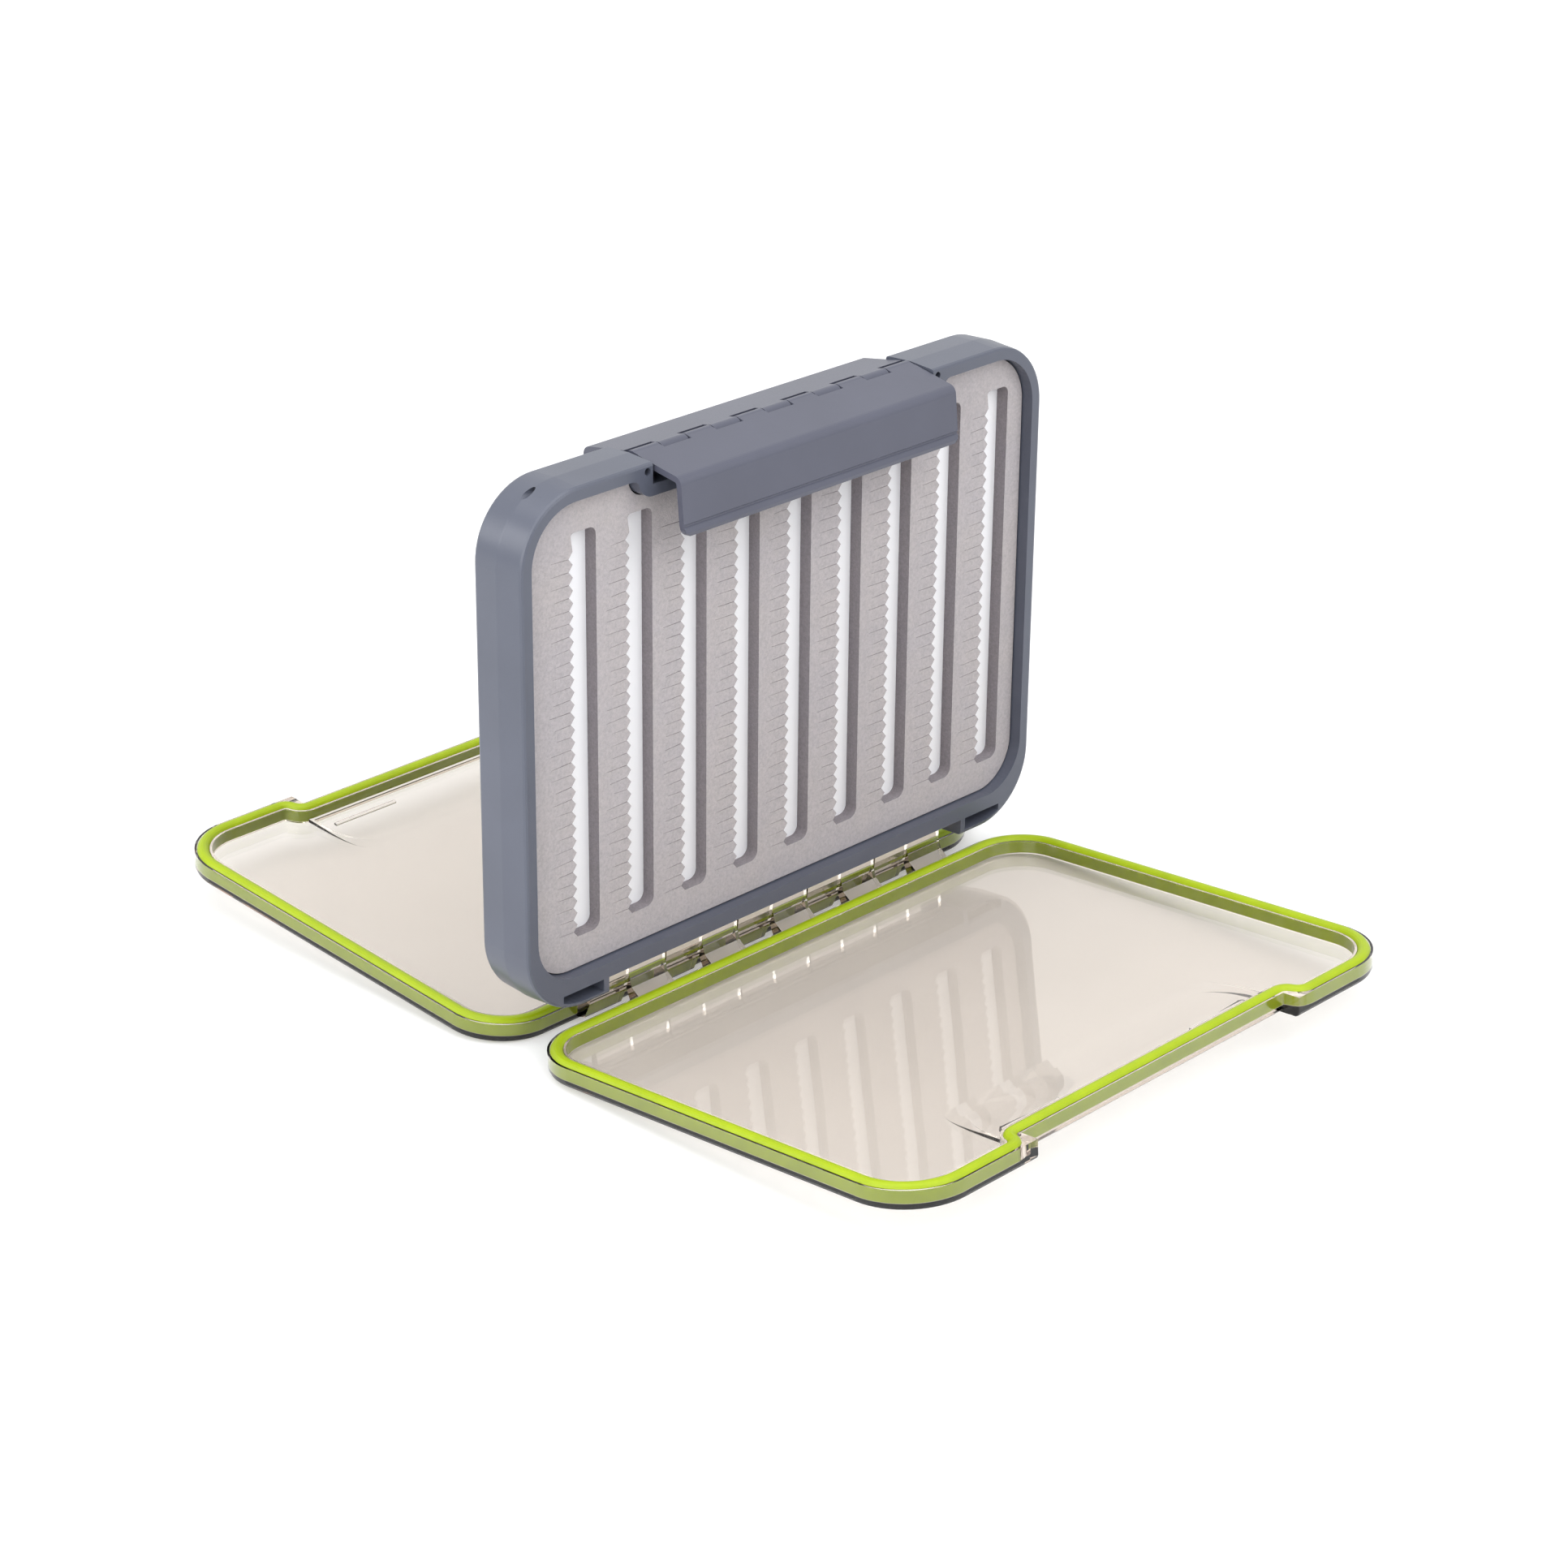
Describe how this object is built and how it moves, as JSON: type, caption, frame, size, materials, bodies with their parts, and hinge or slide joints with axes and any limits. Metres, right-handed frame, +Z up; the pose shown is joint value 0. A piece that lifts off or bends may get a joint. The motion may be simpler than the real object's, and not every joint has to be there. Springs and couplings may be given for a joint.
{
  "type": "fly box",
  "caption": "Two-sided fly box: upright frame with slotted foam on both faces, a clear gasketed lid hinged on each side, and latches on one pin along the top.",
  "frame": {"origin": "on the table, under the middle of the upright frame, between the two open lids", "axes": "+Z up along the frame's height, +X along the frame's width and the hinge, -Y towards the front lid"},
  "size_m": [0.1908, 0.2766, 0.1529],
  "materials": {
    "grey_plastic": "satin moulded",
    "latch_plastic": "satin moulded",
    "white_plastic": "smooth",
    "foam": "fine closed-cell foam",
    "clear_plastic": "clear, glossy",
    "gasket": "soft, smooth",
    "pin_steel": "drawn wire"
  },
  "bodies": {
    "frame": {"frame": "grey_plastic", "septum": "white_plastic", "front_foam": "foam", "rear_foam": "foam", "lid_pin": "pin_steel", "latch_pin": "pin_steel"},
    "front_lid": {"front_lid": "clear_plastic", "front_gasket": "gasket"},
    "rear_lid": {"rear_lid": "clear_plastic", "rear_gasket": "gasket"},
    "front_latch": {"front_latch": "latch_plastic"},
    "rear_latch": {"rear_latch": "latch_plastic"}
  },
  "joints": [
    {"name": "front_lid_hinge", "type": "hinge", "parent": "frame", "child": "front_lid", "pos_m": [0, 0, 0.01459], "axis": [-1, 0, 0], "range_deg": [0, 85.6]},
    {"name": "rear_lid_hinge", "type": "hinge", "parent": "frame", "child": "rear_lid", "pos_m": [0, 0, 0.01459], "axis": [1, 0, 0], "range_deg": [0, 85.6]},
    {"name": "front_latch_hinge", "type": "hinge", "parent": "frame", "child": "front_latch", "pos_m": [0, 0, 0.15059], "axis": [-1, 0, 0], "range_deg": [-5.5, 48]},
    {"name": "rear_latch_hinge", "type": "hinge", "parent": "frame", "child": "rear_latch", "pos_m": [0, 0, 0.15059], "axis": [1, 0, 0], "range_deg": [-5.5, 48]}
  ]
}
